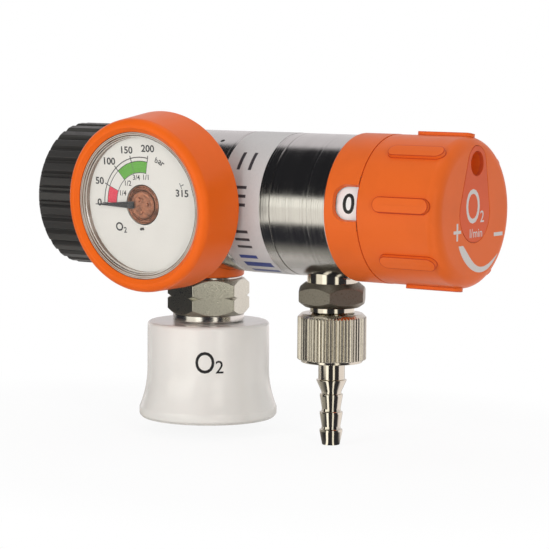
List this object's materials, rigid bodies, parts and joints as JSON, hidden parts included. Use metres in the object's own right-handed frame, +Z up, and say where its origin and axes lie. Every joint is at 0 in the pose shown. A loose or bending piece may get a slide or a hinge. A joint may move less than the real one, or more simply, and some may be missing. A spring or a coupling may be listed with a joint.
{
  "type": "oxygen regulator",
  "caption": "Cylinder pressure regulator with inlet handwheel, pressure gauge, flow selector knob, quick coupling and barbed hose outlet.",
  "frame": {"origin": "seat plane of the inlet on the body axis, where the cylinder valve face stops", "axes": "+X along the body from the handwheel to the flow knob, -Y out of the gauge face, +Z up with both gas outlets pointing down"},
  "size_m": [0.1601, 0.0697, 0.1097],
  "materials": {
    "black_grip": "satin",
    "nickel_plate": "nickel-plated, fine turned",
    "turned_metal": "turned and brushed round the axis",
    "warm_nickel": "nickel-plated, bright",
    "plain_brass": "machined",
    "piston_metal": "machined",
    "sintered_metal": "sintered",
    "seal_rubber": "matt",
    "seat_polymer": "matt",
    "spring_steel": "bright wire",
    "ball_steel": "polished",
    "vent_black": "matt",
    "label_film": "satin printed film",
    "orange_knob": "satin moulded",
    "orange_cover": "satin moulded",
    "knob_plate": "satin moulded",
    "drum_white": "satin moulded",
    "sleeve_white": "gloss moulded",
    "case_steel": "drawn",
    "dial_white": "matt printed",
    "tube_bronze": "dull bronze",
    "pointer_black": "matt",
    "clear_lens": "clear plastic",
    "screw_steel": "plain"
  },
  "bodies": {
    "regulator_body": {"inlet_body": "turned_metal", "inlet_nipple": "plain_brass", "inlet_o_ring": "seal_rubber", "inlet_filter": "sintered_metal", "vent_filter": "vent_black", "valve_nozzle": "plain_brass", "flow_housing": "turned_metal", "transfer_seal": "seal_rubber", "label_band": "label_film", "orifice_seal": "seal_rubber", "selector_bonnet": "plain_brass", "detent_ball": "ball_steel", "detent_spring": "spring_steel", "window_ring": "orange_knob", "gauge_stem": "plain_brass", "gauge_case": "case_steel", "gauge_cover": "orange_cover", "gauge_dial": "dial_white", "bourdon_coil": "tube_bronze", "gauge_lens": "clear_lens", "stop_pin": "pointer_black", "outlet_collar": "orange_knob", "coupling_washer": "nickel_plate", "coupling_adapter": "nickel_plate", "coupling_body": "warm_nickel", "socket_seal": "seal_rubber", "lock_balls": "ball_steel", "spring_clip": "nickel_plate", "outlet_adapter": "nickel_plate", "nipple_washer": "seat_polymer", "hose_nipple": "warm_nickel", "main_spring": "spring_steel", "poppet_spring": "spring_steel", "sleeve_spring": "spring_steel"},
    "handwheel": {"handwheel_grip": "black_grip", "handwheel_core": "nickel_plate"},
    "regulating_piston": {"piston": "piston_metal", "piston_seat": "seat_polymer", "piston_o_ring": "seal_rubber"},
    "selector": {"flow_knob": "orange_knob", "knob_insert": "knob_plate", "knob_screw": "screw_steel", "selector_spindle": "piston_metal", "spindle_o_ring": "seal_rubber", "orifice_plate": "piston_metal", "number_drum": "drum_white"},
    "pointer": {"gauge_pointer": "pointer_black", "pointer_carrier": "tube_bronze"},
    "sleeve": {"release_sleeve": "sleeve_white", "locking_ring": "plain_brass"},
    "poppet": {"coupling_poppet": "plain_brass"},
    "union_nut": {"knurled_nut": "warm_nickel"}
  },
  "joints": [
    {"name": "handwheel_turn", "type": "hinge", "parent": "regulator_body", "child": "handwheel", "pos_m": [0, 0, 0], "axis": [1, 0, 0], "continuous": true},
    {"name": "piston_slide", "type": "slide", "parent": "regulator_body", "child": "regulating_piston", "axis": [-1, 0, 0], "range_m": [0, 0.0008], "stiffness_N_per_m": 20000, "springref_m": -0.004, "deforming": ["main_spring"]},
    {"name": "flow_select", "type": "hinge", "parent": "regulator_body", "child": "selector", "pos_m": [0.11, 0, 0], "axis": [-1, 0, 0], "range_deg": [0, 330]},
    {"name": "pointer_swing", "type": "hinge", "parent": "regulator_body", "child": "pointer", "pos_m": [0.0472, -0.038, 0], "axis": [0, 0.9968, 0.0802], "range_deg": [0, 160], "stiffness_Nm_per_rad": 0.0005},
    {"name": "sleeve_pull", "type": "slide", "parent": "regulator_body", "child": "sleeve", "axis": [0, 0, -1], "range_m": [0, 0.0044], "stiffness_N_per_m": 1500, "springref_m": -0.004, "deforming": ["sleeve_spring"]},
    {"name": "poppet_lift", "type": "slide", "parent": "regulator_body", "child": "poppet", "axis": [0, 0, 1], "range_m": [0, 0.002], "stiffness_N_per_m": 1200, "springref_m": -0.002, "deforming": ["poppet_spring"]},
    {"name": "union_nut_turn", "type": "hinge", "parent": "regulator_body", "child": "union_nut", "pos_m": [0.0966, 0, -0.043], "axis": [0, 0, 1], "continuous": true}
  ]
}
